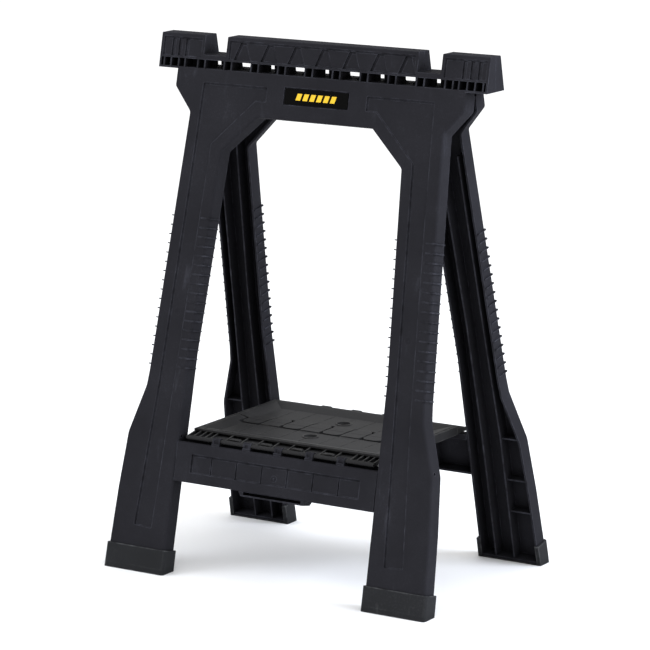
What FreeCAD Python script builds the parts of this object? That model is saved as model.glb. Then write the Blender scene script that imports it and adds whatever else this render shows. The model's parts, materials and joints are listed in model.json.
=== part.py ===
import FreeCAD, Part
import math
import os

# Folding sawhorse: two identical moulded trestle frames hinged on one pin under
# the work beam, with a two-panel tool shelf that folds up between the frames.
# Axes: +X along the beam, -Y the front, +Z up. The origin is on the floor,
# under the middle of the beam. All lengths are in millimetres.

os.makedirs("parts", exist_ok=True)
V = FreeCAD.Vector

# ---- overall shape -----------------------------------------------------------
HEIGHT = 800.0              # floor to the top of the beam
SKIN_FOOT_Y = 188.7         # how far the outer skin stands out at the floor
SKIN_TOP_Y = 14.2           # half width of the beam on top
LEAN = math.atan((SKIN_FOOT_Y - SKIN_TOP_Y) / HEIGHT)
FLANGE = 26.0               # depth of a frame, square to its skin
WALL = 3.0                  # moulded wall
SKIN_T, BEAM_SKIN_T = 3.6, 5.2   # thicker where the skin carries patterns
RIB = 2.2                   # moulded rib
SPLIT_GAP = 0.15            # each beam half stops this far from the middle
FAR = 400.0                 # beyond every edge of the model
OVER = 1.0                  # how far a cut runs past the face it opens

# ---- beam ---------------------------------------------------------------------
BEAM_HALF = 286.5
BEAM_FOOT_Z = 748.0
NOTCH_IN, NOTCH_OUT, NOTCH_Z = 167.0, 207.0, 771.0
CELL_FLOOR_Z, CELL_TOP_Z = 750.8, 763.6
CELL_PITCH = 48.0
PAIR_OFFSET, PAIR_HALF = 30.0, 6.5
END_RIBS = (-278.0, -265.5, -251.5, -240.0, 238.5, 252.5, 265.5, 279.0)
WINDOW_Z0, WINDOW_Z1 = 751.2, 762.6
WINDOW_SQUARE, WINDOW_BOWL = 9.5, 20.0
SQUARE_ROUND, BOWL_ROUND = 0.6, 6.5
BEAM_RIM_ROUND = 1.2
FIELD_DEPTH = 1.6           # depth of the shallow patterns in the skin
DRAFT = 0.8                 # run of a pattern's sloping wall over its depth
LINE_W, LINE_DEEP = 2.4, 0.8     # deeper line under a pattern's upper and left walls
BAND_LINE_DEEP = 0.5
BEAM_FIELD, BEAM_SUNK, BEAM_LINE_W = 1.0, 2.8, 3.2
FIELD_TOP_Z, FIELD_FOOT_Z, FIELD_MARGIN = 794.8, 766.6, 4.5
TRAPEZOID_FOOT, TRAPEZOID_TOP = (-11.0, 22.0), (0.0, 11.0)   # left and right corners
STRIPS = {1: ((241.0, 249.0), (254.0, 262.0), (267.0, 275.0)),
          -1: ((-267.5, -259.5), (-255.5, -247.5), (-243.0, -235.0))}
STRIP_SUNK = 2.24

# ---- top hinge ------------------------------------------------------------------
HINGE_Z = 742.0
KNUCKLE_R, KNUCKLE_CLEAR_R = 6.0, 7.0
PIN_R, FIT = 3.0, 0.05
KNUCKLE_GAP = 0.5
PIN_HALF = 243.0
CAP_INSIDE, CAP_R, CAP_T = 240.8, 5.2, 4.0
CAP_ROOM = (240.5, 249.9)   # clear stretch of the hinge line round a cap

# ---- frame outline, (half width, height on the skin, corner radius) --------------
HEADER_Z = 686.0
OUTER_EDGE = ((253.0, 752.0, 0.0), (253.5, 722.0, 7.0), (222.0, 686.0, 9.0),
              (242.5, 300.0, 60.0), (245.0, 276.0, 26.0), (268.5, 204.0, 34.0),
              (275.5, 120.0, 80.0), (281.0, 8.0, 0.0))
INNER_EDGE = ((178.5, 8.0, 0.0), (174.5, 331.0, 90.0), (157.5, 632.5, 8.0),
              (100.0, HEADER_Z, 8.0))
BAR_TOP, BAR_FOOT, BAR_STEP = 201.0, 141.5, 1.5
BAR_FIELD_HALF, BAR_FIELD_Z0, BAR_FIELD_Z1 = 149.0, 156.5, 184.5
BAR_GROOVES = (-112.5, -67.5, -22.5, 22.5, 67.5, 112.5)
GROOVE_HALF, GROOVE_DEEP = 1.0, 1.3
BAR_GATE_R, BAR_PIP_R = 4.5, 1.6
BAR_ROUND, BAR_SHOULDER = 2.0, 5.0
SKIN_ROUND = 4.2
GATE_X, GATE_Z, GATE_R, GATE_DEEP = 202.5, 390.0, 6.0, 1.3

# ---- leg fins ---------------------------------------------------------------------
FIN_COUNT, FIN_TOP_Z, FIN_PITCH = 17, 531.0, 13.9
FIN_T, FIN_PROUD, FIN_FACE = 1.7, 2.3, 0.7
FIN_WRAP, FIN_WRAP_SHORT = 17.0, 3.5   # reach over the skin, from right and left edges

# ---- shelf ------------------------------------------------------------------------
AXIS_Y, AXIS_Z = 134.0, 206.0
SHELF_HALF, SHELF_END_Y = 167.0, 113.0
FLOOR_Z, FLOOR_T = 210.0, 3.2
RIM_Z, SKIRT_Z = 215.5, 202.5
LIP_W, SLOPE_RUN = 8.5, 22.0   # flat lip round the tray, then the slope to its floor
LIP_UNDER_Z, FACE_Y = 212.2, 106.0
LUG_PITCH = 55.0
LUG_X = [LUG_PITCH * k for k in (-2, -1, 0, 1, 2)]
LUG_HALF, LUG_R, LUG_GAP, LUG_SUNK = 6.5, 5.0, 0.5, 4.5
SEAT_SLACK = 0.3            # the rear pin lies this loose in its saddles
RAIL_R, RAIL_HALF = 3.3, 165.0
PAD_HALF, PAD_TOP_Z, PAD_ROUND = 10.0, 211.6, 3.0
END_RIB_PITCH = 10.1
SHELF_PIN_R = 2.0
FINGER_PITCH, FINGER_REACH, FINGER_GAP, FINGER_ROUND = 36.0, 23.0, 3.4, 11.0
FINGER_RISE = 1.2           # the tongues stand this far over the tray floor
MID_R = 5.5
MID_END = 4 * FINGER_PITCH
MID_CAP_R, MID_CAP_T = 3.4, 3.0
HOLE_Y, HOLE_R, COLLAR_R, COLLAR_T = 48.0, 10.5, 13.0, 1.0

# ---- feet, labels, latches ----------------------------------------------------------
FOOT_Z, FOOT_PROUD, FOOT_FACE, FOOT_CLEAR = 37.0, 3.6, 1.8, 0.3
FOOT_SIDE_ROUND, FOOT_RIM_ROUND = 4.5, 0.8
LABEL_HALF, LABEL_Z0, LABEL_Z1, LABEL_DEEP = 55.0, 709.7, 732.0, 1.6
LABEL_FACE = -0.4           # the plate's face lies just under the skin
MARK_X = (-30.0, -18.0, -6.0, 6.0, 18.0, 30.0)
MARK_HALF_W, MARK_HALF_H, MARK_SLANT = 4.0, 5.0, 1.5
LATCH_HALF, LATCH_T = 55.0, 7.0


# ---- helpers ------------------------------------------------------------------------
def skin_y(z):
    """Depth of the outer skin of the front frame at a height."""
    return -(SKIN_TOP_Y + math.tan(LEAN) * (HEIGHT - z))


def lay_on_skin(shape):
    """Carry a shape drawn as (x, distance up the skin, outward) onto the frame."""
    shape.rotate(V(0, 0, 0), V(1, 0, 0), 90.0 - math.degrees(LEAN))
    shape.translate(V(0, -SKIN_FOOT_Y, 0))
    return shape


def rounded_wire(points):
    """Closed wire in the XY plane through (x, y, radius) corners."""
    count = len(points)
    starts, arcs, ends = [], [], []
    for i, (x, y, radius) in enumerate(points):
        corner = V(x, y, 0)
        before = V(*points[i - 1][:2], 0) - corner
        after = V(*points[(i + 1) % count][:2], 0) - corner
        before.normalize()
        after.normalize()
        half = before.getAngle(after) / 2.0
        if radius == 0.0:
            starts.append(corner)
            ends.append(corner)
            arcs.append(None)
            continue
        run = radius / math.tan(half)
        middle = before + after
        middle.normalize()
        centre = corner + middle * (radius / math.sin(half))
        starts.append(corner + before * run)
        ends.append(corner + after * run)
        arcs.append(centre - middle * radius)
    edges = []
    for i in range(count):
        if arcs[i] is not None:
            edges.append(Part.Arc(starts[i], arcs[i], ends[i]).toShape())
        edges.append(Part.makeLine(ends[i], starts[(i + 1) % count]))
    return Part.Wire(edges)


def up_skin(points):
    """Heights on the skin become distances measured up the skin."""
    return [(x, z / math.cos(LEAN), r) for x, z, r in points]


def slab(points, out0, out1):
    """Slab on the skin from rounded (x, height, radius) corners."""
    face = Part.Face(rounded_wire(up_skin(points)))
    face.translate(V(0, 0, out0))
    return face.extrude(V(0, 0, out1 - out0))


def drafted(points, out0, out1, slope):
    """Slab on the skin whose walls lean out by a slope, true to size at the skin."""
    wires = []
    for out in (out0, out1):
        wire = rounded_wire(up_skin(points)).makeOffset2D(slope * out, 2)
        wire.translate(V(0, 0, out))
        wires.append(wire)
    return Part.makeLoft(wires, True, True)


def corners_of(x0, x1, z0, z1):
    return ((x0, z0, 0), (x1, z0, 0), (x1, z1, 0), (x0, z1, 0))


def tile(x0, x1, z0, z1, out0, out1):
    """Plain rectangular slab on the skin."""
    return slab(corners_of(x0, x1, z0, z1), out0, out1)


def yz_prism(points, x0, x1):
    """Prism along X from (y, z) corners."""
    corners = [V(x0, y, z) for y, z in points]
    face = Part.Face(Part.makePolygon(corners + corners[:1]))
    return face.extrude(V(x1 - x0, 0, 0))


def box(x0, x1, y0, y1, z0, z1):
    return Part.makeBox(x1 - x0, y1 - y0, z1 - z0, V(x0, y0, z0))


def rod(x0, x1, y, z, radius):
    return Part.makeCylinder(radius, x1 - x0, V(x0, y, z), V(1, 0, 0))


def fuse_all(shapes):
    return shapes[0].multiFuse(shapes[1:]).removeSplitter()


def cut_all(shape, tools):
    return shape.cut(Part.makeCompound(tools))


def turned(shape):
    """The same moulding turned half round the upright axis."""
    other = shape.copy()
    other.rotate(V(0, 0, 0), V(0, 0, 1), 180)
    return other


def mirror_x(points):
    """Corners of the left side that match a list of right side corners."""
    return [(-x, z, r) for x, z, r in reversed(points)]


def edge_x(edge, z):
    """Half width of an outline at a height."""
    for (x0, z0, _), (x1, z1, _) in zip(edge, edge[1:]):
        if min(z0, z1) <= z <= max(z0, z1):
            return x0 + (x1 - x0) * (z - z0) / (z1 - z0)
    return edge[-1][0]


# ---- beam half ------------------------------------------------------------------------
def rib_places():
    pairs = []
    for k in range(-5, 5):
        centre = PAIR_OFFSET + CELL_PITCH * k
        pairs += [centre - PAIR_HALF, centre + PAIR_HALF]
    return sorted(pairs + list(END_RIBS))


def cell_hollow(x0, x1):
    """Space between two ribs, open to the front and hollow up into the beam."""
    in_notch = x1 > -NOTCH_OUT and x0 < -NOTCH_IN or x1 > NOTCH_IN and x0 < NOTCH_OUT
    roof = (NOTCH_Z if in_notch else HEIGHT) - WALL
    inner = BEAM_SKIN_T / math.cos(LEAN)
    back = -(SPLIT_GAP + WALL)
    return yz_prism(((back, CELL_FLOOR_Z), (skin_y(CELL_FLOOR_Z) - WALL, CELL_FLOOR_Z),
                     (skin_y(CELL_TOP_Z) - WALL, CELL_TOP_Z),
                     (skin_y(CELL_TOP_Z) + inner, CELL_TOP_Z),
                     (skin_y(roof) + inner, roof), (back, roof)), x0, x1)


def window(n):
    """See-through opening in the middle wall, square or bowl-shaped in turn."""
    half = (WINDOW_BOWL if n % 2 else WINDOW_SQUARE) / 2.0
    centre = CELL_PITCH * n
    corner = BOWL_ROUND if n % 2 else SQUARE_ROUND
    wire = rounded_wire(((centre - half, WINDOW_Z1, 0), (centre - half, WINDOW_Z0, corner),
                         (centre + half, WINDOW_Z0, corner), (centre + half, WINDOW_Z1, 0)))
    shape = Part.Face(wire).extrude(V(0, 0, 2 * WALL))
    shape.rotate(V(0, 0, 0), V(1, 0, 0), 90)
    shape.translate(V(0, WALL / 3, 0))
    return shape


def sunk(points, depth, line_width=LINE_W, line_deep=LINE_DEEP):
    """Sloping-walled recess, deeper along the foot of its upper and left walls."""
    recess = drafted(points, -depth, depth, DRAFT)
    floor = rounded_wire(up_skin(points)).makeOffset2D(-DRAFT * depth / 2, 2)
    plate = Part.Face(floor).extrude(V(0, 0, depth + line_deep))
    plate.translate(V(0, 0, -depth - line_deep))
    rest = plate.copy()
    rest.translate(V(line_width, -line_width, 0))
    return recess.fuse(plate.cut(rest))


def beam_patterns():
    """Fields of the three beam blocks, with deeper trapezoids and upright strips."""
    inner_end, outer_end = NOTCH_IN - FIELD_MARGIN, BEAM_HALF - FIELD_MARGIN
    high, low = FIELD_TOP_Z - 0.8, FIELD_FOOT_Z - 0.4
    field = corners_of(-inner_end, inner_end, FIELD_FOOT_Z, FIELD_TOP_Z)
    shapes = [sunk(field, BEAM_FIELD)]
    for k in range(-3, 4):
        x = CELL_PITCH * k
        shapes.append(sunk(((x + TRAPEZOID_FOOT[0], low, 0), (x + TRAPEZOID_FOOT[1], low, 0),
                            (x + TRAPEZOID_TOP[1], high, 0), (x + TRAPEZOID_TOP[0], high, 0)),
                           BEAM_SUNK, BEAM_LINE_W))
    for side in (-1, 1):
        ends = sorted((side * (NOTCH_OUT + FIELD_MARGIN), side * outer_end))
        shapes.append(sunk(corners_of(ends[0], ends[1], FIELD_FOOT_Z, FIELD_TOP_Z), BEAM_FIELD))
        for a, b in STRIPS[side]:
            shapes.append(sunk(corners_of(a, b, low, high), STRIP_SUNK))
    return [lay_on_skin(shape) for shape in shapes]


def beam_half():
    section = ((-SPLIT_GAP, HEIGHT), (-SKIN_TOP_Y, HEIGHT),
               (skin_y(BEAM_FOOT_Z), BEAM_FOOT_Z), (-SPLIT_GAP, BEAM_FOOT_Z))
    solid = yz_prism(section, -BEAM_HALF, BEAM_HALF)
    notches = [box(a, b, -SKIN_FOOT_Y, OVER, NOTCH_Z, HEIGHT + OVER)
               for a, b in ((-NOTCH_OUT, -NOTCH_IN), (NOTCH_IN, NOTCH_OUT))]
    solid = cut_all(solid, notches)
    rim = [e for e in solid.Edges
           if abs(e.BoundBox.ZMin - HEIGHT) < 0.01 and abs(e.BoundBox.YMin + SKIN_TOP_Y) < 0.01]
    solid = solid.makeFillet(BEAM_RIM_ROUND, rim)
    places = [-BEAM_HALF + WALL - RIB / 2] + rib_places() + [BEAM_HALF - WALL + RIB / 2]
    hollows = []
    for a, b in zip(places, places[1:]):
        hollows.append(cell_hollow(a + RIB / 2, b - RIB / 2))
    windows = [window(n) for n in range(-4, 5)]
    return cut_all(solid, hollows + windows + beam_patterns())


# ---- frame ------------------------------------------------------------------------------
def leg_line(part, z):
    """Point a given part of the way across the leg at a height."""
    inner, outer = edge_x(INNER_EDGE, z), edge_x(OUTER_EDGE, z)
    return inner + part * (outer - inner)


def leg_band_outline():
    """Shallow recess that starts in the header and runs down the leg."""
    return ((87.0, 731.0, 1.5), (202.0, 731.0, 3), (leg_line(0.70, 560), 560, 40),
            (leg_line(0.68, 276), 276, 40), (238.0, 68.0, 2), (205.5, 66.0, 2),
            (leg_line(0.28, 276), 276, 60), (176.0, 641.0, 6), (105.5, 709.0, 2),
            (87.0, 709.0, 1.5))


def gate_mark(x):
    """Shallow round dimple in the leg where the mould was filled."""
    sink = FIELD_DEPTH + GATE_DEEP
    ball_r = (GATE_R * GATE_R + GATE_DEEP * GATE_DEEP) / (2 * GATE_DEEP)
    return Part.makeSphere(ball_r, V(x, GATE_Z / math.cos(LEAN), ball_r - sink))


def frame_ribs():
    """Ribs left standing in the hollow back of the frame."""
    edge_out, root_out = -FLANGE + 1.2, -SKIN_T + 0.5
    inner_line = ((179.0, 650.0), (196.0, 381.0), (202.0, 212.0), (205.0, 12.0))
    outer_line = ((211.0, 650.0), (224.5, 377.0), (234.0, 209.0), (237.0, 12.0))
    ribs = []
    for side in (-1, 1):
        for line in (inner_line, outer_line):
            left = [(side * x - RIB / 2, z, 0) for x, z in line]
            right = [(side * x + RIB / 2, z, 0) for x, z in reversed(line)]
            ribs.append(slab(left + right, edge_out, root_out))
        for z in (206.0, 139.0, 87.0):
            a, b = sorted((side * 235.0, side * (edge_x(OUTER_EDGE, z) - WALL / 2)))
            ribs.append(tile(a, b, z - RIB / 2, z + RIB / 2, edge_out + 5.0, root_out))
    for k in range(-4, 5):
        x = CELL_PITCH * (k + 0.5)
        ribs.append(tile(x - RIB / 2, x + RIB / 2, HEADER_Z - 2, BEAM_FOOT_Z, edge_out + 5.0,
                         root_out))
    return ribs


def fins():
    """Thin grip fins that wrap both edges of each leg."""
    shapes = []
    lift = FIN_T / 2
    for i in range(FIN_COUNT):
        z = FIN_TOP_Z - FIN_PITCH * i
        for edge, way in ((OUTER_EDGE, 1), (INNER_EDGE, -1)):
            x = edge_x(edge, z)
            proud, core = x + way * FIN_PROUD, x - way * 1.2
            for side in (-1, 1):
                wrap = x - way * (FIN_WRAP if side == way else FIN_WRAP_SHORT)
                profile = ((proud, -FLANGE + 1.5), (proud, -0.8), (proud - way * 1.4, FIN_FACE),
                           (wrap + way * 2.0, FIN_FACE), (wrap, -0.6), (core, -2.4),
                           (core, -FLANGE + 1.5))
                base = z / math.cos(LEAN) - lift
                corners = [V(side * px, base, out) for px, out in profile]
                face = Part.Face(Part.makePolygon(corners + corners[:1]))
                shapes.append(face.extrude(V(0, FIN_T, 0)))
    return shapes


def crossbar():
    """Lower bar of the frame, stepped back a little from the legs."""
    half = INNER_EDGE[1][0] + 2.0
    outer = tile(-half, half, BAR_FOOT, BAR_TOP, -FLANGE, -BAR_STEP)
    for radius, z in ((BAR_ROUND, BAR_FOOT), (BAR_SHOULDER, BAR_TOP)):
        up = z / math.cos(LEAN)
        edges = [e for e in outer.Edges
                 if abs(e.BoundBox.ZMin + BAR_STEP) < 0.01 and e.BoundBox.XLength > half
                 and abs(e.BoundBox.YMin - up) < 0.01]
        outer = outer.makeFillet(radius, edges)
    hollow = tile(-half - 1, half + 1, BAR_FOOT + WALL, BAR_TOP - WALL,
                  -FLANGE - 1, -BAR_STEP - SKIN_T)
    bar_ribs = [tile(x - RIB / 2, x + RIB / 2, BAR_FOOT, BAR_TOP, -FLANGE + 4.0, -2.0)
                for x in BAR_GROOVES]
    hollow = hollow.cut(Part.makeCompound(bar_ribs))
    field = sunk(corners_of(-BAR_FIELD_HALF, BAR_FIELD_HALF, BAR_FIELD_Z0, BAR_FIELD_Z1),
                 FIELD_DEPTH)
    field.translate(V(0, 0, -BAR_STEP))
    floor = -BAR_STEP - FIELD_DEPTH
    grooves = [tile(x - GROOVE_HALF, x + GROOVE_HALF, BAR_FIELD_Z0, BAR_FIELD_Z1,
                    floor - GROOVE_DEEP, 0) for x in BAR_GROOVES]
    middle = V(0, (BAR_FIELD_Z0 + 10.0) / math.cos(LEAN), floor - 0.6)
    gate = Part.makeCylinder(BAR_GATE_R, 1.0, middle)
    pip = Part.makeCylinder(BAR_PIP_R, 1.6, middle)
    return cut_all(outer, [hollow, field, gate] + grooves).fuse(pip)


def bar_upstand():
    """Level strip along the inner edge of the crossbar, just under the shelf."""
    half = INNER_EDGE[1][0] + 1.0
    inner_y = skin_y(BAR_TOP) + FLANGE / math.cos(LEAN)
    return box(-half, half, inner_y - 6.0, inner_y, BAR_TOP - 8.5, BAR_TOP)


def frame_panel():
    """Header and legs as one hollow-backed panel."""
    corners = list(OUTER_EDGE) + list(INNER_EDGE)
    corners += mirror_x(INNER_EDGE) + mirror_x(OUTER_EDGE)
    wire = rounded_wire(up_skin(corners))
    solid = Part.Face(wire).extrude(V(0, 0, -FLANGE))
    low = 9.0 / math.cos(LEAN)
    high = 751.0 / math.cos(LEAN)
    rim = [e for e in solid.Edges
           if e.BoundBox.ZMin > -0.01 and e.BoundBox.YMax > low + 1
           and e.BoundBox.YMin < high]
    solid = solid.makeFillet(SKIN_ROUND, rim)
    inner = wire.makeOffset2D(-WALL)
    hollow = Part.Face(inner).extrude(V(0, 0, -FLANGE))
    hollow.translate(V(0, 0, -SKIN_T))
    hollow = hollow.cut(Part.makeCompound(frame_ribs()))
    band = leg_band_outline()
    recesses = [sunk(points, FIELD_DEPTH, LINE_W, BAND_LINE_DEEP)
                for points in (band, mirror_x(band))]
    recesses += [gate_mark(side * GATE_X) for side in (-1, 1)]
    edge = 1.6
    recesses.append(tile(-LABEL_HALF - edge, LABEL_HALF + edge, LABEL_Z0 - edge,
                         LABEL_Z1 + edge, -LABEL_DEEP, 2))
    return cut_all(solid, [hollow] + recesses)


def knuckle_spans(side):
    """Stretches of the hinge line that belong to the front (1) or rear (-1) frame."""
    spans = []
    for n in range(-5, 5):
        owner = 1 if n % 2 == 0 else -1
        if owner == side:
            spans.append((CELL_PITCH * n + KNUCKLE_GAP, CELL_PITCH * (n + 1) - KNUCKLE_GAP))
    return spans


def front_lug(x):
    """Ringed lug on the crossbar that holds the front shelf pin."""
    a, b = x - LUG_HALF, x + LUG_HALF
    front = -AXIS_Y - LUG_R
    base = box(a, b, front - 2.0, -AXIS_Y + LUG_R, BAR_TOP - LUG_SUNK, BAR_TOP + 2.0)
    neck = box(a, b, front, -AXIS_Y + LUG_R, BAR_TOP - LUG_SUNK, AXIS_Z)
    ring = rod(a, b, -AXIS_Y, AXIS_Z, LUG_R)
    dimple = box(a + 3, b - 3, front - 1, front + 1.2, BAR_TOP + 2.8, AXIS_Z + 3)
    return fuse_all([base, neck, ring]).cut(dimple)


def saddle(x):
    """Open saddle on the rear crossbar, clear above and to the outside."""
    a, b = x - LUG_HALF, x + LUG_HALF
    seat_r = SHELF_PIN_R + SEAT_SLACK
    block = box(a, b, AXIS_Y - LUG_R - 1, AXIS_Y + LUG_R, BAR_TOP - LUG_SUNK, AXIS_Z + 0.2)
    seat = rod(a - 1, b + 1, AXIS_Y, AXIS_Z, seat_r)
    way_out = box(a - 1, b + 1, AXIS_Y, AXIS_Y + 2 * LUG_R, AXIS_Z - seat_r, AXIS_Z + 2)
    return block.cut(seat).cut(way_out)


def make_frame():
    """One frame as the front frame, without its hinge line or lugs."""
    shell = frame_panel()
    bar = crossbar()
    wrap = fins()
    body = lay_on_skin(fuse_all([shell, bar] + wrap)).fuse(bar_upstand())
    keep = box(-FAR, FAR, -FAR, -SPLIT_GAP, -OVER, BEAM_FOOT_Z + OVER)
    return body.common(keep).fuse(beam_half())


def hinge_frame(base, side):
    """Give a frame (drawn at the front) its knuckles and clearances."""
    own, other = knuckle_spans(side), knuckle_spans(-side)
    pads = []
    for a, b in own:
        pads.append(rod(a, b, 0, HINGE_Z, KNUCKLE_R))
        pads.append(box(a, b, -KNUCKLE_R, -SPLIT_GAP, HINGE_Z, BEAM_FOOT_Z + 2))
        pads.append(box(a, b, -FLANGE + 4, -2, HINGE_Z - 2, HINGE_Z + 2))
    clears = [rod(a - KNUCKLE_GAP - 0.01, b + KNUCKLE_GAP + 0.01, 0, HINGE_Z, KNUCKLE_CLEAR_R)
              for a, b in other]
    end_clear = [rod(CAP_ROOM[0], CAP_ROOM[1], 0, HINGE_Z, KNUCKLE_CLEAR_R),
                 rod(-CAP_ROOM[1], -CAP_ROOM[0], 0, HINGE_Z, KNUCKLE_CLEAR_R)]
    bore = rod(-BEAM_HALF, BEAM_HALF, 0, HINGE_Z, PIN_R + FIT)
    body = cut_all(base, clears + end_clear)
    return fuse_all([body] + pads).cut(bore)


frame = make_frame()
front_frame = hinge_frame(frame, 1)
rear_frame = turned(hinge_frame(frame, 1))
front_frame = fuse_all([front_frame] + [front_lug(x) for x in LUG_X])
front_frame = front_frame.cut(rod(-BEAM_HALF, BEAM_HALF, -AXIS_Y, AXIS_Z, SHELF_PIN_R + FIT))
rear_frame = fuse_all([rear_frame] + [saddle(x) for x in LUG_X])


# ---- shelf ---------------------------------------------------------------------------------
def own_fingers():
    return [FINGER_PITCH * (n + 0.5) for n in (-3, -1, 1, 3)]


def shelf_blank():
    """Panel before its tray, ribs and fingers are made, with a rounded lip."""
    top_of_pin = AXIS_Z + 0.3
    end = -FINGER_GAP / 2
    profile = ((-SHELF_END_Y, RIM_Z), (-SHELF_END_Y, LIP_UNDER_Z), (-FACE_Y, LIP_UNDER_Z),
               (-FACE_Y, SKIRT_Z), (-45, SKIRT_Z), (-6, top_of_pin), (end, top_of_pin),
               (end, RIM_Z))
    solid = yz_prism(profile, -SHELF_HALF, SHELF_HALF)
    edges = [e for e in solid.Edges
             if e.BoundBox.ZMin > RIM_Z - 0.01
             and (e.BoundBox.XLength < 0.01 or e.BoundBox.YMax < -SHELF_END_Y + 0.01)]
    return solid.makeFillet(1.4, edges)


def tray_space():
    """Space over the floor, with long slopes up to the lip on three sides."""
    wires = []
    for z in (FLOOR_Z, RIM_Z + 1):
        inset = LIP_W + SLOPE_RUN * (RIM_Z - z) / (RIM_Z - FLOOR_Z)
        x, y = SHELF_HALF - inset, SHELF_END_Y - inset
        wires.append(Part.makePolygon([V(-x, -y, z), V(x, -y, z), V(x, 1, z), V(-x, 1, z),
                                       V(-x, -y, z)]))
    return Part.makeLoft(wires, True, True)


def lip_groove():
    """Fine groove along the middle of the lip."""
    inset, width, deep = 3.6, 2.0, 1.3
    outer = box(-SHELF_HALF + inset, SHELF_HALF - inset, -SHELF_END_Y + inset, 1,
                RIM_Z - deep, RIM_Z + 1)
    inset += width
    inner = box(-SHELF_HALF + inset, SHELF_HALF - inset, -SHELF_END_Y + inset, 2,
                RIM_Z - 2, RIM_Z + 2)
    return outer.cut(inner)


def underside_pockets():
    edge, count = 4.0, 8
    pitch = (2 * SHELF_HALF - edge) / count
    pockets = []
    for i in range(count):
        x0 = -SHELF_HALF + edge + pitch * i
        pockets.append(box(x0, x0 + pitch - edge, -FACE_Y + edge, -FINGER_REACH - 6,
                           SKIRT_Z - 1, FLOOR_Z - FLOOR_T))
    return pockets


def plank_lines():
    inset = LIP_W + SLOPE_RUN
    return [box(36.0 * k - 0.6, 36.0 * k + 0.6, -SHELF_END_Y + inset, 1, FLOOR_Z - 0.6, RIM_Z)
            for k in range(-3, 4)]


def ring_pad(x, foot):
    """Upright pad with a round-cornered rim, between two lugs."""
    y_front, y_back, rim, sink = -AXIS_Y + 2.6, -AXIS_Y + 9.0, 1.8, 2.0
    shapes = []
    for inset, y0, y1 in ((0.0, y_front, y_back), (rim, y_front - 1, y_front + sink)):
        half, round_r = PAD_HALF - inset, PAD_ROUND - inset / 2
        wire = rounded_wire(((x - half, foot + inset, 0), (x + half, foot + inset, 0),
                             (x + half, PAD_TOP_Z - inset, round_r),
                             (x - half, PAD_TOP_Z - inset, round_r)))
        shape = Part.Face(wire).extrude(V(0, 0, y0 - y1))
        shape.rotate(V(0, 0, 0), V(1, 0, 0), 90)
        shape.translate(V(0, y0, 0))
        shapes.append(shape)
    return shapes[0].cut(shapes[1])


def hinge_rail():
    """Barrel along the outer edge, broken at the lugs and carried on ribs."""
    half = LUG_HALF + LUG_GAP
    stops = [-RAIL_HALF] + [x + side * half for x in LUG_X for side in (-1, 1)] + [RAIL_HALF]
    pieces = [rod(a, b, -AXIS_Y, AXIS_Z, RAIL_R) for a, b in zip(stops[::2], stops[1::2])]
    root = -FACE_Y + 0.5
    rib = ((root, LIP_UNDER_Z + 0.3), (-SHELF_END_Y - 1.0, LIP_UNDER_Z),
           (-AXIS_Y, AXIS_Z + RAIL_R - 0.4), (-AXIS_Y, AXIS_Z - RAIL_R + 0.4), (root, SKIRT_Z))
    places = [LUG_PITCH / 4 * n for n in range(-9, 10, 2)]
    last = places[-1]
    for n in (1, 2, 3, 4):
        places += [last + END_RIB_PITCH * n, -last - END_RIB_PITCH * n]
    for x in places:
        pieces.append(yz_prism(rib, x - RIB / 2, x + RIB / 2))
    reach, shelf_z = LUG_PITCH / 4, AXIS_Z - 1.0
    end_bay = (LUG_X[-1] + reach, RAIL_HALF)
    for a, b in (end_bay, (-end_bay[1], -end_bay[0])):
        pieces.append(box(a, b, -AXIS_Y + 2, root, shelf_z, shelf_z + 1.8))
    for n in (-3, -1, 1, 3):
        x = LUG_PITCH / 2 * n
        pieces.append(box(x - reach, x + reach, -AXIS_Y + 2, root, shelf_z, shelf_z + 1.8))
        pieces.append(ring_pad(x, shelf_z))
    for x in LUG_X:
        pieces.append(box(x - reach, x + reach, -AXIS_Y + LUG_R + 0.7, root,
                          AXIS_Z + 0.5, AXIS_Z + 2.4))
    return pieces


def finger(x):
    """Round-tipped tongue that laps over the other panel, with its hinge barrel."""
    a = x - (FINGER_PITCH - FINGER_GAP) / 2
    b = x + (FINGER_PITCH - FINGER_GAP) / 2
    tongue = Part.Face(rounded_wire(((a, -FINGER_REACH, 0), (b, -FINGER_REACH, 0),
                                     (b, FINGER_REACH, FINGER_ROUND),
                                     (a, FINGER_REACH, FINGER_ROUND))))
    tongue.translate(V(0, 0, AXIS_Z + 0.5))
    thick = FLOOR_Z + FINGER_RISE - AXIS_Z - 0.5
    return [tongue.extrude(V(0, 0, thick)), rod(a, b, 0, AXIS_Z, MID_R)]


def finger_slot(x):
    """Room for one finger of the other panel."""
    half = (FINGER_PITCH + FINGER_GAP) / 2
    return box(x - half, x + half, -FINGER_REACH - FINGER_GAP, 1, SKIRT_Z - 1, RIM_Z + 1)


def slot_ledge(x):
    """Step under the tip of the other panel's finger."""
    half = FINGER_PITCH / 2 - 4.0
    return box(x - half, x + half, -FINGER_REACH - FINGER_GAP - 1, -FINGER_REACH + 4,
               AXIS_Z - 1.2, AXIS_Z + 0.2)


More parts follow.
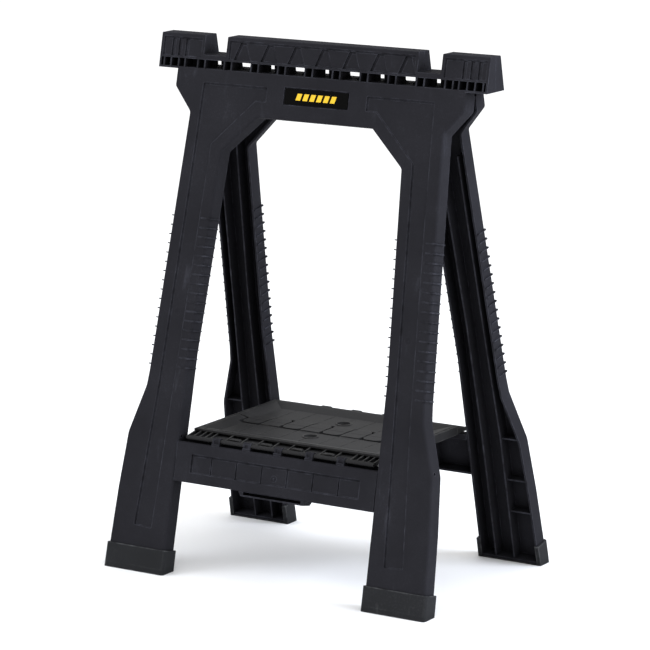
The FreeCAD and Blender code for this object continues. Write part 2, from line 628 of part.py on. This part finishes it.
def shelf_panel():
    """One shelf panel drawn at the front, from its pin to the middle hinge."""
    others = [-x for x in own_fingers()]
    hole = Part.makeCylinder(HOLE_R, 30.0, V(0, -HOLE_Y, SKIRT_Z - 5))
    collar = Part.makeCylinder(COLLAR_R, FLOOR_T + COLLAR_T, V(0, -HOLE_Y, FLOOR_Z - FLOOR_T))
    blank = cut_all(shelf_blank(), [tray_space(), lip_groove()] + underside_pockets()
                    + plank_lines() + [finger_slot(x) for x in others])
    pads = [collar] + [slot_ledge(x) for x in others] + hinge_rail()
    for x in own_fingers():
        pads += finger(x)
    solid = fuse_all([blank] + pads)
    way_half, way_reach = LUG_HALF + LUG_GAP, 62.0
    cuts = [box(x - way_half, x + way_half, -AXIS_Y - 10, -AXIS_Y + way_reach,
                SKIRT_Z - 2, AXIS_Z + 0.7) for x in LUG_X]
    cuts.append(hole)
    cuts.append(rod(-RAIL_HALF + 4, RAIL_HALF - 4, -AXIS_Y, AXIS_Z, SHELF_PIN_R + FIT))
    cap_room = MID_END + MID_CAP_T + 2.0
    cuts.append(rod(-cap_room, cap_room, 0, AXIS_Z, SHELF_PIN_R + FIT))
    for ends in ((MID_END, cap_room), (-cap_room, -MID_END)):
        cuts.append(rod(ends[0], ends[1], 0, AXIS_Z, MID_CAP_R + 0.6))
    return cut_all(solid, cuts)


front_shelf = shelf_panel()
rear_shelf = turned(front_shelf)


# ---- pins -----------------------------------------------------------------------------------
def cap_pair(inside, thick, y, z, radius, bore):
    """Two push-on caps, one at each end of a pin."""
    pair = [rod(inside, inside + thick, y, z, radius), rod(-inside - thick, -inside, y, z, radius)]
    return Part.makeCompound([cap.cut(rod(-PIN_HALF, PIN_HALF, y, z, bore)) for cap in pair])


top_hinge_pin = rod(-PIN_HALF, PIN_HALF, 0, HINGE_Z, PIN_R)
top_pin_caps = cap_pair(CAP_INSIDE, CAP_T, 0, HINGE_Z, CAP_R, PIN_R)
MID_PIN_HALF = MID_END + 2.5
shelf_mid_pin = rod(-MID_PIN_HALF, MID_PIN_HALF, 0, AXIS_Z, SHELF_PIN_R)
mid_pin_caps = cap_pair(MID_END + 0.3, MID_CAP_T, 0, AXIS_Z, MID_CAP_R, SHELF_PIN_R)
RAIL_PIN_HALF = RAIL_HALF - 4.5
front_shelf_pin = rod(-RAIL_PIN_HALF, RAIL_PIN_HALF, -AXIS_Y, AXIS_Z, SHELF_PIN_R)
rear_shelf_pin = rod(-RAIL_PIN_HALF, RAIL_PIN_HALF, AXIS_Y, AXIS_Z, SHELF_PIN_R)


# ---- foot caps ---------------------------------------------------------------------------------
def leg_section(side, top, foot, grow, radius=0.0):
    """Corners round the leg between two heights, grown on both edges."""
    inner_top, outer_top = edge_x(INNER_EDGE, top), edge_x(OUTER_EDGE, top)
    inner_foot, outer_foot = INNER_EDGE[0][0], OUTER_EDGE[-1][0]
    corners = ((inner_top - grow, top, radius), (inner_foot - grow, foot, 0),
               (outer_foot + grow, foot, 0), (outer_top + grow, top, radius))
    return [(side * x, z, r) for x, z, r in corners]


def foot_cap(side):
    """Rubber boot on the end of one leg of the front frame, open at the back."""
    below = -14.0
    boot = slab(leg_section(side, FOOT_Z, below, FOOT_PROUD), -FLANGE - 1.6, FOOT_FACE)
    for radius, rising in ((FOOT_SIDE_ROUND, True), (FOOT_RIM_ROUND, False)):
        edges = [e for e in boot.Edges
                 if e.BoundBox.ZMin > FOOT_FACE - 0.1 and e.BoundBox.YMax > FOOT_Z
                 and (e.BoundBox.YLength > FOOT_Z) == rising]
        boot = boot.makeFillet(radius, edges)
    leg_end = OUTER_EDGE[-1][1] - FOOT_CLEAR
    above = FOOT_Z + 9.0
    socket = slab(leg_section(side, above, leg_end, FOOT_CLEAR), -FLANGE - FOOT_CLEAR, FOOT_CLEAR)
    back_window = slab(leg_section(side, above, leg_end, -3.4), -FLANGE - 4.0, -FLANGE + OVER)
    boot = lay_on_skin(boot.cut(socket).cut(back_window))
    return boot.common(box(-FAR, FAR, -FAR, 0, 0, BAR_FOOT))


foot_front_right = foot_cap(1)
foot_front_left = foot_cap(-1)
foot_rear_left = turned(foot_front_right)
foot_rear_right = turned(foot_front_left)


# ---- labels and latches -----------------------------------------------------------------------
def label_plate():
    plate = slab(((-LABEL_HALF, LABEL_Z0, 1.5), (LABEL_HALF, LABEL_Z0, 1.5),
                  (LABEL_HALF, LABEL_Z1, 1.5), (-LABEL_HALF, LABEL_Z1, 1.5)),
                 -LABEL_DEEP, LABEL_FACE)
    return lay_on_skin(plate)


def label_mark():
    """Plain slanted bars in place of lettering."""
    middle = (LABEL_Z0 + LABEL_Z1) / 2
    low, high = middle - MARK_HALF_H, middle + MARK_HALF_H
    bars = []
    for x in MARK_X:
        foot, top = x - MARK_SLANT, x + MARK_SLANT
        corners = ((foot - MARK_HALF_W, low, 0), (foot + MARK_HALF_W, low, 0),
                   (top + MARK_HALF_W, high, 0), (top - MARK_HALF_W, high, 0))
        bars.append(lay_on_skin(slab(corners, LABEL_FACE, 0.0)))
    return Part.makeCompound(bars)


def latch():
    """Snap latch lip under the crossbar."""
    foot = BAR_FOOT - LATCH_T
    lip = slab(((-LATCH_HALF, foot, 2), (LATCH_HALF, foot, 2),
                (LATCH_HALF + 4, BAR_FOOT, 0), (-LATCH_HALF - 4, BAR_FOOT, 0)),
               -FLANGE + 3, -BAR_STEP - 1.0)
    grip = tile(-LATCH_HALF + 4, LATCH_HALF - 4, foot + 2.2, BAR_FOOT - 0.5, -FLANGE + 8, 0)
    return lay_on_skin(lip.cut(grip))


front_label = label_plate()
rear_label = turned(front_label)
front_label_mark = label_mark()
rear_label_mark = turned(front_label_mark)
front_latch = latch()
rear_latch = turned(front_latch)


PARTS = {
    "front_frame": front_frame, "rear_frame": rear_frame,
    "front_shelf": front_shelf, "rear_shelf": rear_shelf,
    "foot_front_left": foot_front_left, "foot_front_right": foot_front_right,
    "foot_rear_left": foot_rear_left, "foot_rear_right": foot_rear_right,
    "top_hinge_pin": top_hinge_pin, "top_pin_caps": top_pin_caps,
    "front_shelf_pin": front_shelf_pin, "rear_shelf_pin": rear_shelf_pin,
    "shelf_mid_pin": shelf_mid_pin, "mid_pin_caps": mid_pin_caps,
    "front_label": front_label, "rear_label": rear_label,
    "front_label_mark": front_label_mark, "rear_label_mark": rear_label_mark,
    "front_latch": front_latch, "rear_latch": rear_latch,
}
for name, shape in PARTS.items():
    shape.exportStep("parts/" + name + ".step")
    print(name, shape.isValid(), len(shape.Solids), round(shape.Volume / 1000.0, 1), "cm3")
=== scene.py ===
import json
import math

import bpy
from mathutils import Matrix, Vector

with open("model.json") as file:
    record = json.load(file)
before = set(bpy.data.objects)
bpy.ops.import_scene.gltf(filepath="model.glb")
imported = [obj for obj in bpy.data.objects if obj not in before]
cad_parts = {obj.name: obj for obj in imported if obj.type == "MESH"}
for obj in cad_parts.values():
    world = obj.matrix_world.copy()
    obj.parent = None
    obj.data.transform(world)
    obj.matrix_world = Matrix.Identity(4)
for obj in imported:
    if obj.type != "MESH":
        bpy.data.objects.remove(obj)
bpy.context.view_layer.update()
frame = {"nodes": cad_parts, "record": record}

# Folding sawhorse. Lengths are in metres, in the row frame: +X along the beam,
# -Y the front, +Z up, with the origin on the floor.

nodes = frame["nodes"]

# ---- looks --------------------------------------------------------------------
CHARCOAL = (0.0170, 0.0168, 0.0200)
# The worn colours serve real scuffs, dust and rubbed edges, and also a painted highlight along
# sharp edges.
CHARCOAL_WORN_AND_HIGHLIGHT = (0.066, 0.068, 0.084)
SHELF_GREY = (0.0190, 0.0188, 0.0195)
SHELF_WORN_AND_HIGHLIGHT = (0.080, 0.078, 0.074)
FOOT_GREY = (0.0160, 0.0166, 0.0182)
FOOT_WORN_AND_HIGHLIGHT = (0.105, 0.108, 0.112)
LABEL_BLACK = (0.0030, 0.0029, 0.0028)
LABEL_YELLOW = (0.78, 0.50, 0.02)
STEEL = (0.19, 0.19, 0.20)
STEEL_SPOT = (0.16, 0.12, 0.09)
FLOOR_PALE = (0.93, 0.93, 0.93, 1)
FLOOR_ROUGH = 0.9

# Noise scales: how many lumps of a pattern fit in a metre.
CLOUD_SCALE = 9.0
STREAK_SCALE = 60.0
RUB_SCALE = 70.0
RIPPLE_SCALE = 160.0
SPECK_SCALE = 420.0
GRAIN_SCALE = 1300.0
RUBBER_GRAIN_SCALE = 800.0
FILM_CLOUD_SCALE = 38.0
FILM_RIPPLE_SCALE = 180.0
FILM_RUB_SCALE = 260.0
STEEL_LINE_SCALE = 900.0
STEEL_SPOT_SCALE = 220.0

# Lengths in metres.
GRAIN_DEPTH = 0.00018
RIPPLE_DEPTH = 0.0004
FILM_RIPPLE_DEPTH = 0.0002
STEEL_LINE_DEPTH = 0.0001
MOULDED_ROUND = 0.0007
FILM_ROUND = 0.0003
STEEL_ROUND = 0.0004
# Reach of the rubbed edges, which also carry a painted highlight.
EDGE_RUB_AND_HIGHLIGHT = 0.0020
BOOT_RUB_AND_HIGHLIGHT = 0.0034
# HOLLOW_REACH is how far the painted shade in hollows looks around.
HOLLOW_REACH = 0.03

# Sockets of a colour mix node, and samples of the nodes that look around.
MIX_A, MIX_B, MIX_OUT = 6, 7, 2
BEVEL_SAMPLES = 6
AIR_SAMPLES = 8


class Graph:
    """Short names for building a material's node tree."""

    def __init__(self, name):
        self.material = bpy.data.materials.new(name)
        self.material.use_nodes = True
        self.tree = self.material.node_tree
        self.shader = self.tree.nodes["Principled BSDF"]
        coords = self.tree.nodes.new("ShaderNodeTexCoord")
        self.place = coords.outputs["Object"]

    def node(self, kind, **settings):
        made = self.tree.nodes.new(kind)
        for key, value in settings.items():
            setattr(made, key, value)
        return made

    def link(self, source, target):
        self.tree.links.new(source, target)

    def noise(self, scale, detail=4.0, rough=0.55, stretch=(1, 1, 1), distort=0.0):
        mapping = self.node("ShaderNodeMapping")
        mapping.inputs["Scale"].default_value = stretch
        self.link(self.place, mapping.inputs["Vector"])
        noise = self.node("ShaderNodeTexNoise")
        noise.inputs["Scale"].default_value = scale
        noise.inputs["Detail"].default_value = detail
        noise.inputs["Roughness"].default_value = rough
        noise.inputs["Distortion"].default_value = distort
        self.link(mapping.outputs["Vector"], noise.inputs["Vector"])
        return noise.outputs["Fac"]

    def span(self, value, low, high, to_low=0.0, to_high=1.0):
        """Maps a range of values onto another, held at both ends."""
        made = self.node("ShaderNodeMapRange", clamp=True)
        for key, number in (("From Min", low), ("From Max", high),
                            ("To Min", to_low), ("To Max", to_high)):
            made.inputs[key].default_value = number
        self.link(value, made.inputs["Value"])
        return made.outputs["Result"]

    def math(self, kind, a, b):
        made = self.node("ShaderNodeMath", operation=kind, use_clamp=True)
        for socket, value in zip(made.inputs, (a, b)):
            if isinstance(value, (int, float)):
                socket.default_value = value
            else:
                self.link(value, socket)
        return made.outputs[0]

    def mix(self, factor, a, b):
        """Mixes two colours, each a tuple or a socket."""
        made = self.node("ShaderNodeMix", data_type="RGBA")
        self.link(factor, made.inputs["Factor"])
        for socket, value in ((made.inputs[MIX_A], a), (made.inputs[MIX_B], b)):
            if isinstance(value, tuple):
                socket.default_value = (*value, 1.0)
            else:
                self.link(value, socket)
        return made.outputs[MIX_OUT]

    def edges(self, radius):
        """1 along sharp outer edges, 0 on open faces."""
        bevel = self.node("ShaderNodeBevel", samples=BEVEL_SAMPLES)
        bevel.inputs["Radius"].default_value = radius
        plain = self.node("ShaderNodeNewGeometry")
        dot = self.node("ShaderNodeVectorMath", operation="DOT_PRODUCT")
        self.link(bevel.outputs["Normal"], dot.inputs[0])
        self.link(plain.outputs["Normal"], dot.inputs[1])
        return self.span(dot.outputs["Value"], 0.995, 0.90)

    def open_air(self, reach):
        """1 on open faces, towards 0 deep in hollows, gaps and grooves; drives the painted
        shade in hollows.
        """
        made = self.node("ShaderNodeAmbientOcclusion", samples=AIR_SAMPLES)
        made.inputs["Distance"].default_value = reach
        return made.outputs["AO"]

    def relief(self, layers, rounding):
        """Stacks (height, strength, distance) bumps on a softly rounded normal."""
        bevel = self.node("ShaderNodeBevel", samples=BEVEL_SAMPLES)
        bevel.inputs["Radius"].default_value = rounding
        normal = bevel.outputs["Normal"]
        for height, strength, distance in layers:
            bump = self.node("ShaderNodeBump")
            bump.inputs["Strength"].default_value = strength
            bump.inputs["Distance"].default_value = distance
            self.link(height, bump.inputs["Height"])
            self.link(normal, bump.inputs["Normal"])
            normal = bump.outputs["Normal"]
        self.link(normal, self.shader.inputs["Normal"])


def moulded(name, base, worn_and_highlight, rough, grain_scale=GRAIN_SCALE, grain=0.35, dust=0.25,
            specular=0.018, rub=EDGE_RUB_AND_HIGHLIGHT):
    """Grained moulded plastic or rubber with scuffs, faint dust and rubbed edges; the rubbed
    edges also carry a painted highlight, and hollows get painted shade.
    """
    g = Graph(name)
    cloud = g.noise(CLOUD_SCALE, 5.0, 0.6)
    fine = g.noise(grain_scale, 2.0, 0.5)
    streak = g.noise(STREAK_SCALE, 6.0, 0.62, (1.0, 1.0, 0.16), 0.4)
    speck = g.noise(SPECK_SCALE, 3.0, 0.6)
    patches = g.span(g.noise(RUB_SCALE, 5.0, 0.65), 0.38, 0.66)
    edge_wear_and_highlight = g.math("MULTIPLY", g.edges(rub), patches)
    scuff = g.math("MULTIPLY", g.span(streak, 0.60, 0.78), g.span(cloud, 0.44, 0.66))
    powder = g.math("MULTIPLY", g.span(speck, 0.52, 0.80), g.span(cloud, 0.40, 0.70))
    dark = tuple(0.86 * c for c in base)
    light = tuple(1.16 * c for c in base)
    shaded = tuple(0.35 * c for c in base)
    colour = g.mix(g.span(cloud, 0.3, 0.7), dark, light)
    colour = g.mix(g.math("MULTIPLY", scuff, 0.45), colour, worn_and_highlight)
    colour = g.mix(g.math("MULTIPLY", powder, dust), colour, worn_and_highlight)
    # Rubbed edges, partly real wear and partly a painted highlight: sharp outer edges are
    # lightened in random patches.
    colour = g.mix(g.math("MULTIPLY", edge_wear_and_highlight, 0.9), colour, worn_and_highlight)
    # Painted shade: hollows, gaps and grooves are darkened towards a third of the base colour,
    # in place of the shade that falls there.
    colour = g.mix(g.span(g.open_air(HOLLOW_REACH), 0.15, 0.75), shaded, colour)
    g.link(colour, g.shader.inputs["Base Color"])
    matt = g.span(cloud, 0.3, 0.7, rough - 0.05, rough + 0.06)
    g.link(g.math("ADD", matt, g.math("MULTIPLY", scuff, -0.10)), g.shader.inputs["Roughness"])
    g.shader.inputs["Specular IOR Level"].default_value = specular
    ripple = g.noise(RIPPLE_SCALE, 3.0)
    g.relief(((fine, grain, GRAIN_DEPTH), (ripple, 0.12, RIPPLE_DEPTH)), MOULDED_ROUND)
    return g.material


def printed(name, base, rough, specular):
    """Smooth printed film with faint ripple and rub marks."""
    g = Graph(name)
    cloud = g.noise(FILM_CLOUD_SCALE, 4.0)
    rub = g.span(g.noise(FILM_RUB_SCALE, 6.0, 0.7, (1.0, 1.0, 0.2)), 0.60, 0.80)
    deep = tuple(0.92 * c for c in base)
    pale = tuple(min(1.0, 1.25 * c + 0.008) for c in base)
    colour = g.mix(g.span(cloud, 0.3, 0.7), deep, base)
    colour = g.mix(g.math("MULTIPLY", rub, 0.4), colour, pale)
    g.link(colour, g.shader.inputs["Base Color"])
    g.link(g.span(cloud, 0.3, 0.7, rough - 0.05, rough + 0.08), g.shader.inputs["Roughness"])
    g.shader.inputs["Specular IOR Level"].default_value = specular
    g.relief(((g.noise(FILM_RIPPLE_SCALE, 3.0), 0.15, FILM_RIPPLE_DEPTH),), FILM_ROUND)
    return g.material


def drawn_steel(name):
    """Plain steel wire with marks along its length."""
    g = Graph(name)
    line = g.noise(STEEL_LINE_SCALE, 3.0, 0.6, (0.04, 1.0, 1.0))
    spot = g.span(g.noise(STEEL_SPOT_SCALE, 5.0, 0.7), 0.58, 0.75)
    dull = tuple(0.8 * c for c in STEEL)
    colour = g.mix(g.span(line, 0.35, 0.65), dull, STEEL)
    colour = g.mix(g.math("MULTIPLY", spot, 0.5), colour, STEEL_SPOT)
    g.link(colour, g.shader.inputs["Base Color"])
    g.link(g.span(line, 0.3, 0.7, 0.28, 0.46), g.shader.inputs["Roughness"])
    g.shader.inputs["Metallic"].default_value = 1.0
    g.relief(((line, 0.2, STEEL_LINE_DEPTH),), STEEL_ROUND)
    return g.material


FINISHES = {
    "frame_plastic": moulded("frame_plastic", CHARCOAL, CHARCOAL_WORN_AND_HIGHLIGHT, 0.70),
    "shelf_plastic": moulded("shelf_plastic", SHELF_GREY, SHELF_WORN_AND_HIGHLIGHT, 0.55, dust=0.4,
                             specular=0.06),
    "foot_rubber": moulded("foot_rubber", FOOT_GREY, FOOT_WORN_AND_HIGHLIGHT, 0.68, RUBBER_GRAIN_SCALE,
                           grain=0.5, dust=0.3, specular=0.07, rub=BOOT_RUB_AND_HIGHLIGHT),
    "pin_steel": drawn_steel("pin_steel"),
    "cap_plastic": moulded("cap_plastic", LABEL_BLACK, CHARCOAL_WORN_AND_HIGHLIGHT, 0.5),
    "label_black": printed("label_black", LABEL_BLACK, 0.50, 0.015),
    "label_yellow": printed("label_yellow", LABEL_YELLOW, 0.45, 0.25),
    "latch_plastic": moulded("latch_plastic", CHARCOAL, CHARCOAL_WORN_AND_HIGHLIGHT, 0.66),
}
for part in frame["record"]["subparts"]:
    mesh = nodes[part["node"]].data
    mesh.materials.clear()
    mesh.materials.append(FINISHES[part["material_slot"]])

# ---- floor, light, camera --------------------------------------------------------
FLOOR_HALF = 14.0
HORIZON, ZENITH = 1.0, 1.25
ZENITH_FROM = 0.9
MIDDLE = Vector((0.0, 0.0, 0.4))
RIGHT_PLACE, RIGHT_SIZE, RIGHT_POWER = Vector((2.6, 0.6, 1.9)), (1.6, 2.2), 95
RIGHT_COLOUR = (0.82, 0.88, 1.0)
LEFT_PLACE, LEFT_SIZE, LEFT_POWER = Vector((-2.3, -2.0, 2.7)), (1.5, 1.5), 42
LEFT_COLOUR = (0.86, 0.91, 1.0)
CAMERA_PLACE = Vector((2.6945, -4.3017, 1.4400))
CAMERA_AZIMUTH, CAMERA_ELEVATION = math.radians(32.10), math.radians(11.87)
CAMERA_LENS = 190.5
SENSOR_WIDTH = 36.0
CLIP_END = 100.0


def in_scene(name, data):
    """Puts a mesh, lamp or camera in the scene."""
    made = bpy.data.objects.new(name, data)
    bpy.context.collection.objects.link(made)
    return made


def studio_floor():
    """Wide plain pale floor at height 0."""
    corners = [(-FLOOR_HALF, -FLOOR_HALF, 0), (FLOOR_HALF, -FLOOR_HALF, 0),
               (FLOOR_HALF, FLOOR_HALF, 0), (-FLOOR_HALF, FLOOR_HALF, 0)]
    mesh = bpy.data.meshes.new("studio_floor")
    mesh.from_pydata(corners, [], [(0, 1, 2, 3)])
    pale = bpy.data.materials.new("pale_floor")
    pale.use_nodes = True
    shader = pale.node_tree.nodes["Principled BSDF"]
    shader.inputs["Base Color"].default_value = FLOOR_PALE
    shader.inputs["Roughness"].default_value = FLOOR_ROUGH
    mesh.materials.append(pale)
    return in_scene("studio_floor", mesh)


def studio_dome():
    """Plain white dome, brighter overhead than at the horizon."""
    world = bpy.data.worlds.new("studio")
    bpy.context.scene.world = world
    world.use_nodes = True
    tree = world.node_tree
    background = tree.nodes["Background"]
    background.inputs["Color"].default_value = (1.0, 1.0, 1.0, 1)
    place = tree.nodes.new("ShaderNodeTexCoord")
    split = tree.nodes.new("ShaderNodeSeparateXYZ")
    height = tree.nodes.new("ShaderNodeMapRange")
    for key, number in (("From Min", 0.0), ("From Max", ZENITH_FROM),
                        ("To Min", HORIZON), ("To Max", ZENITH)):
        height.inputs[key].default_value = number
    tree.links.new(place.outputs["Generated"], split.inputs["Vector"])
    tree.links.new(split.outputs["Z"], height.inputs["Value"])
    tree.links.new(height.outputs["Result"], background.inputs["Strength"])


def soft_light(name, place, size, power, colour):
    """Large soft lamp aimed at the middle of the object."""
    lamp = bpy.data.lights.new(name, "AREA")
    lamp.shape = "RECTANGLE"
    lamp.size, lamp.size_y = size
    lamp.energy = power
    lamp.color = colour
    made = in_scene(name, lamp)
    made.location = place
    made.rotation_euler = (MIDDLE - place).to_track_quat("-Z", "Y").to_euler()


def fitted_camera():
    """Long-lens camera in front, to the right and a little above."""
    data = bpy.data.cameras.new("camera")
    data.sensor_width = SENSOR_WIDTH
    data.lens = CAMERA_LENS
    data.clip_end = CLIP_END
    camera = in_scene("camera", data)
    camera.location = CAMERA_PLACE
    looking = -Vector((math.sin(CAMERA_AZIMUTH) * math.cos(CAMERA_ELEVATION),
                       -math.cos(CAMERA_AZIMUTH) * math.cos(CAMERA_ELEVATION),
                       math.sin(CAMERA_ELEVATION)))
    camera.rotation_euler = looking.to_track_quat("-Z", "Y").to_euler()
    bpy.context.scene.camera = camera


floor = studio_floor()
studio_dome()
soft_light("right_softbox", RIGHT_PLACE, RIGHT_SIZE, RIGHT_POWER, RIGHT_COLOUR)
soft_light("left_softbox", LEFT_PLACE, LEFT_SIZE, LEFT_POWER, LEFT_COLOUR)
fitted_camera()
bpy.context.scene.view_settings.view_transform = "Standard"
